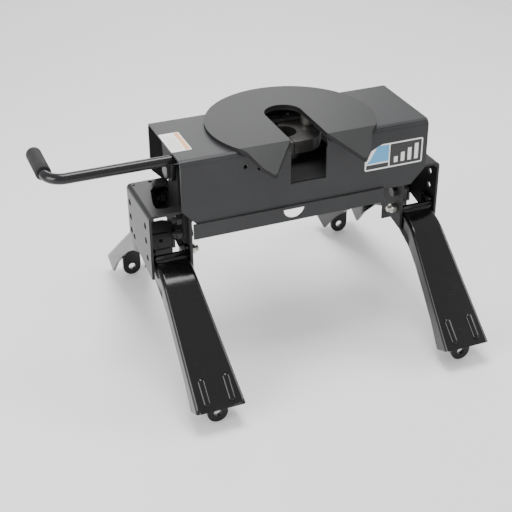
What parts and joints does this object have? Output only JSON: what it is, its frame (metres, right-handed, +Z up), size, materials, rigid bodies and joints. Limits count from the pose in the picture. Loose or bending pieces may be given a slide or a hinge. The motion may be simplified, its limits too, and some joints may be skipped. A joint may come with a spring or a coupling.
{
  "type": "fifth wheel hitch",
  "caption": "Fifth wheel trailer hitch with a tilting slotted head, locking jaws, pull handle, and two uprights on splayed channel legs with pinned feet.",
  "frame": {"origin": "on the floor midway between the four foot lugs", "axes": "+X to the passenger side, +Y forward to the cab, +Z up"},
  "size_m": [0.7975, 0.616, 0.452],
  "materials": {
    "upright_coat": "satin",
    "leg_gloss": "gloss",
    "head_coat": "satin",
    "skid_coat": "satin",
    "jaw_steel": "machined",
    "zinc": "zinc plated",
    "black_oxide": "black oxide",
    "rubber": "matte",
    "grip_rubber": "textured",
    "label_white": "printed film",
    "label_black": "printed film"
  },
  "bodies": {
    "stand": {"upright_left": "upright_coat", "upright_right": "upright_coat", "leg_front_left": "leg_gloss", "leg_front_right": "leg_gloss", "leg_rear_left": "leg_gloss", "leg_rear_right": "leg_gloss", "lug_front_left": "leg_gloss", "lug_front_right": "leg_gloss", "lug_rear_left": "leg_gloss", "lug_rear_right": "leg_gloss", "leg_bolts": "zinc", "leg_nuts": "zinc", "brace_plates": "upright_coat", "pivot_bracket_left": "upright_coat", "pivot_bracket_right": "upright_coat", "height_bolts": "black_oxide", "height_nuts": "black_oxide", "pivot_bushings": "rubber"},
    "head": {"beam_shell": "head_coat", "skid_plate": "skid_coat", "front_rail": "head_coat", "cheek_plates": "head_coat", "jaw_carrier": "head_coat", "rod_guide": "head_coat", "pivot_pins": "black_oxide", "pivot_nuts": "black_oxide", "jaw_bolts": "zinc", "jaw_spacers": "zinc", "slide_guides": "head_coat", "spring_post": "zinc", "warning_label": "label_white", "rating_label": "label_black"},
    "jaw_left": {"jaw_left": "jaw_steel", "cam_pin_left": "zinc"},
    "jaw_right": {"jaw_right": "jaw_steel", "cam_pin_right": "zinc"},
    "handle": {"handle_rod": "leg_gloss", "handle_grip": "grip_rubber", "lock_slide": "jaw_steel", "rod_saddle": "jaw_steel", "return_spring": "zinc"}
  },
  "joints": [
    {"name": "head_tilt", "type": "hinge", "parent": "stand", "child": "head", "pos_m": [0, 0, 0.385], "axis": [1, 0, 0], "range_deg": [-7, 7]},
    {"name": "handle_pull", "type": "slide", "parent": "head", "child": "handle", "axis": [-1, 0, 0], "range_m": [0, 0.05], "deforming": ["return_spring"]},
    {"name": "jaw_left_swing", "type": "hinge", "parent": "head", "child": "jaw_left", "pos_m": [-0.06, 0.04, 0.399], "axis": [0, 0, -1], "range_deg": [0, 24]},
    {"name": "jaw_right_swing", "type": "hinge", "parent": "head", "child": "jaw_right", "pos_m": [0.06, 0.04, 0.399], "axis": [0, 0, 1], "range_deg": [0, 24]}
  ],
  "couplings": [
    {"joint": "jaw_left_swing", "follows": "handle_pull", "rad_per_m": 8.3776},
    {"joint": "jaw_right_swing", "follows": "handle_pull", "rad_per_m": 8.3776}
  ]
}
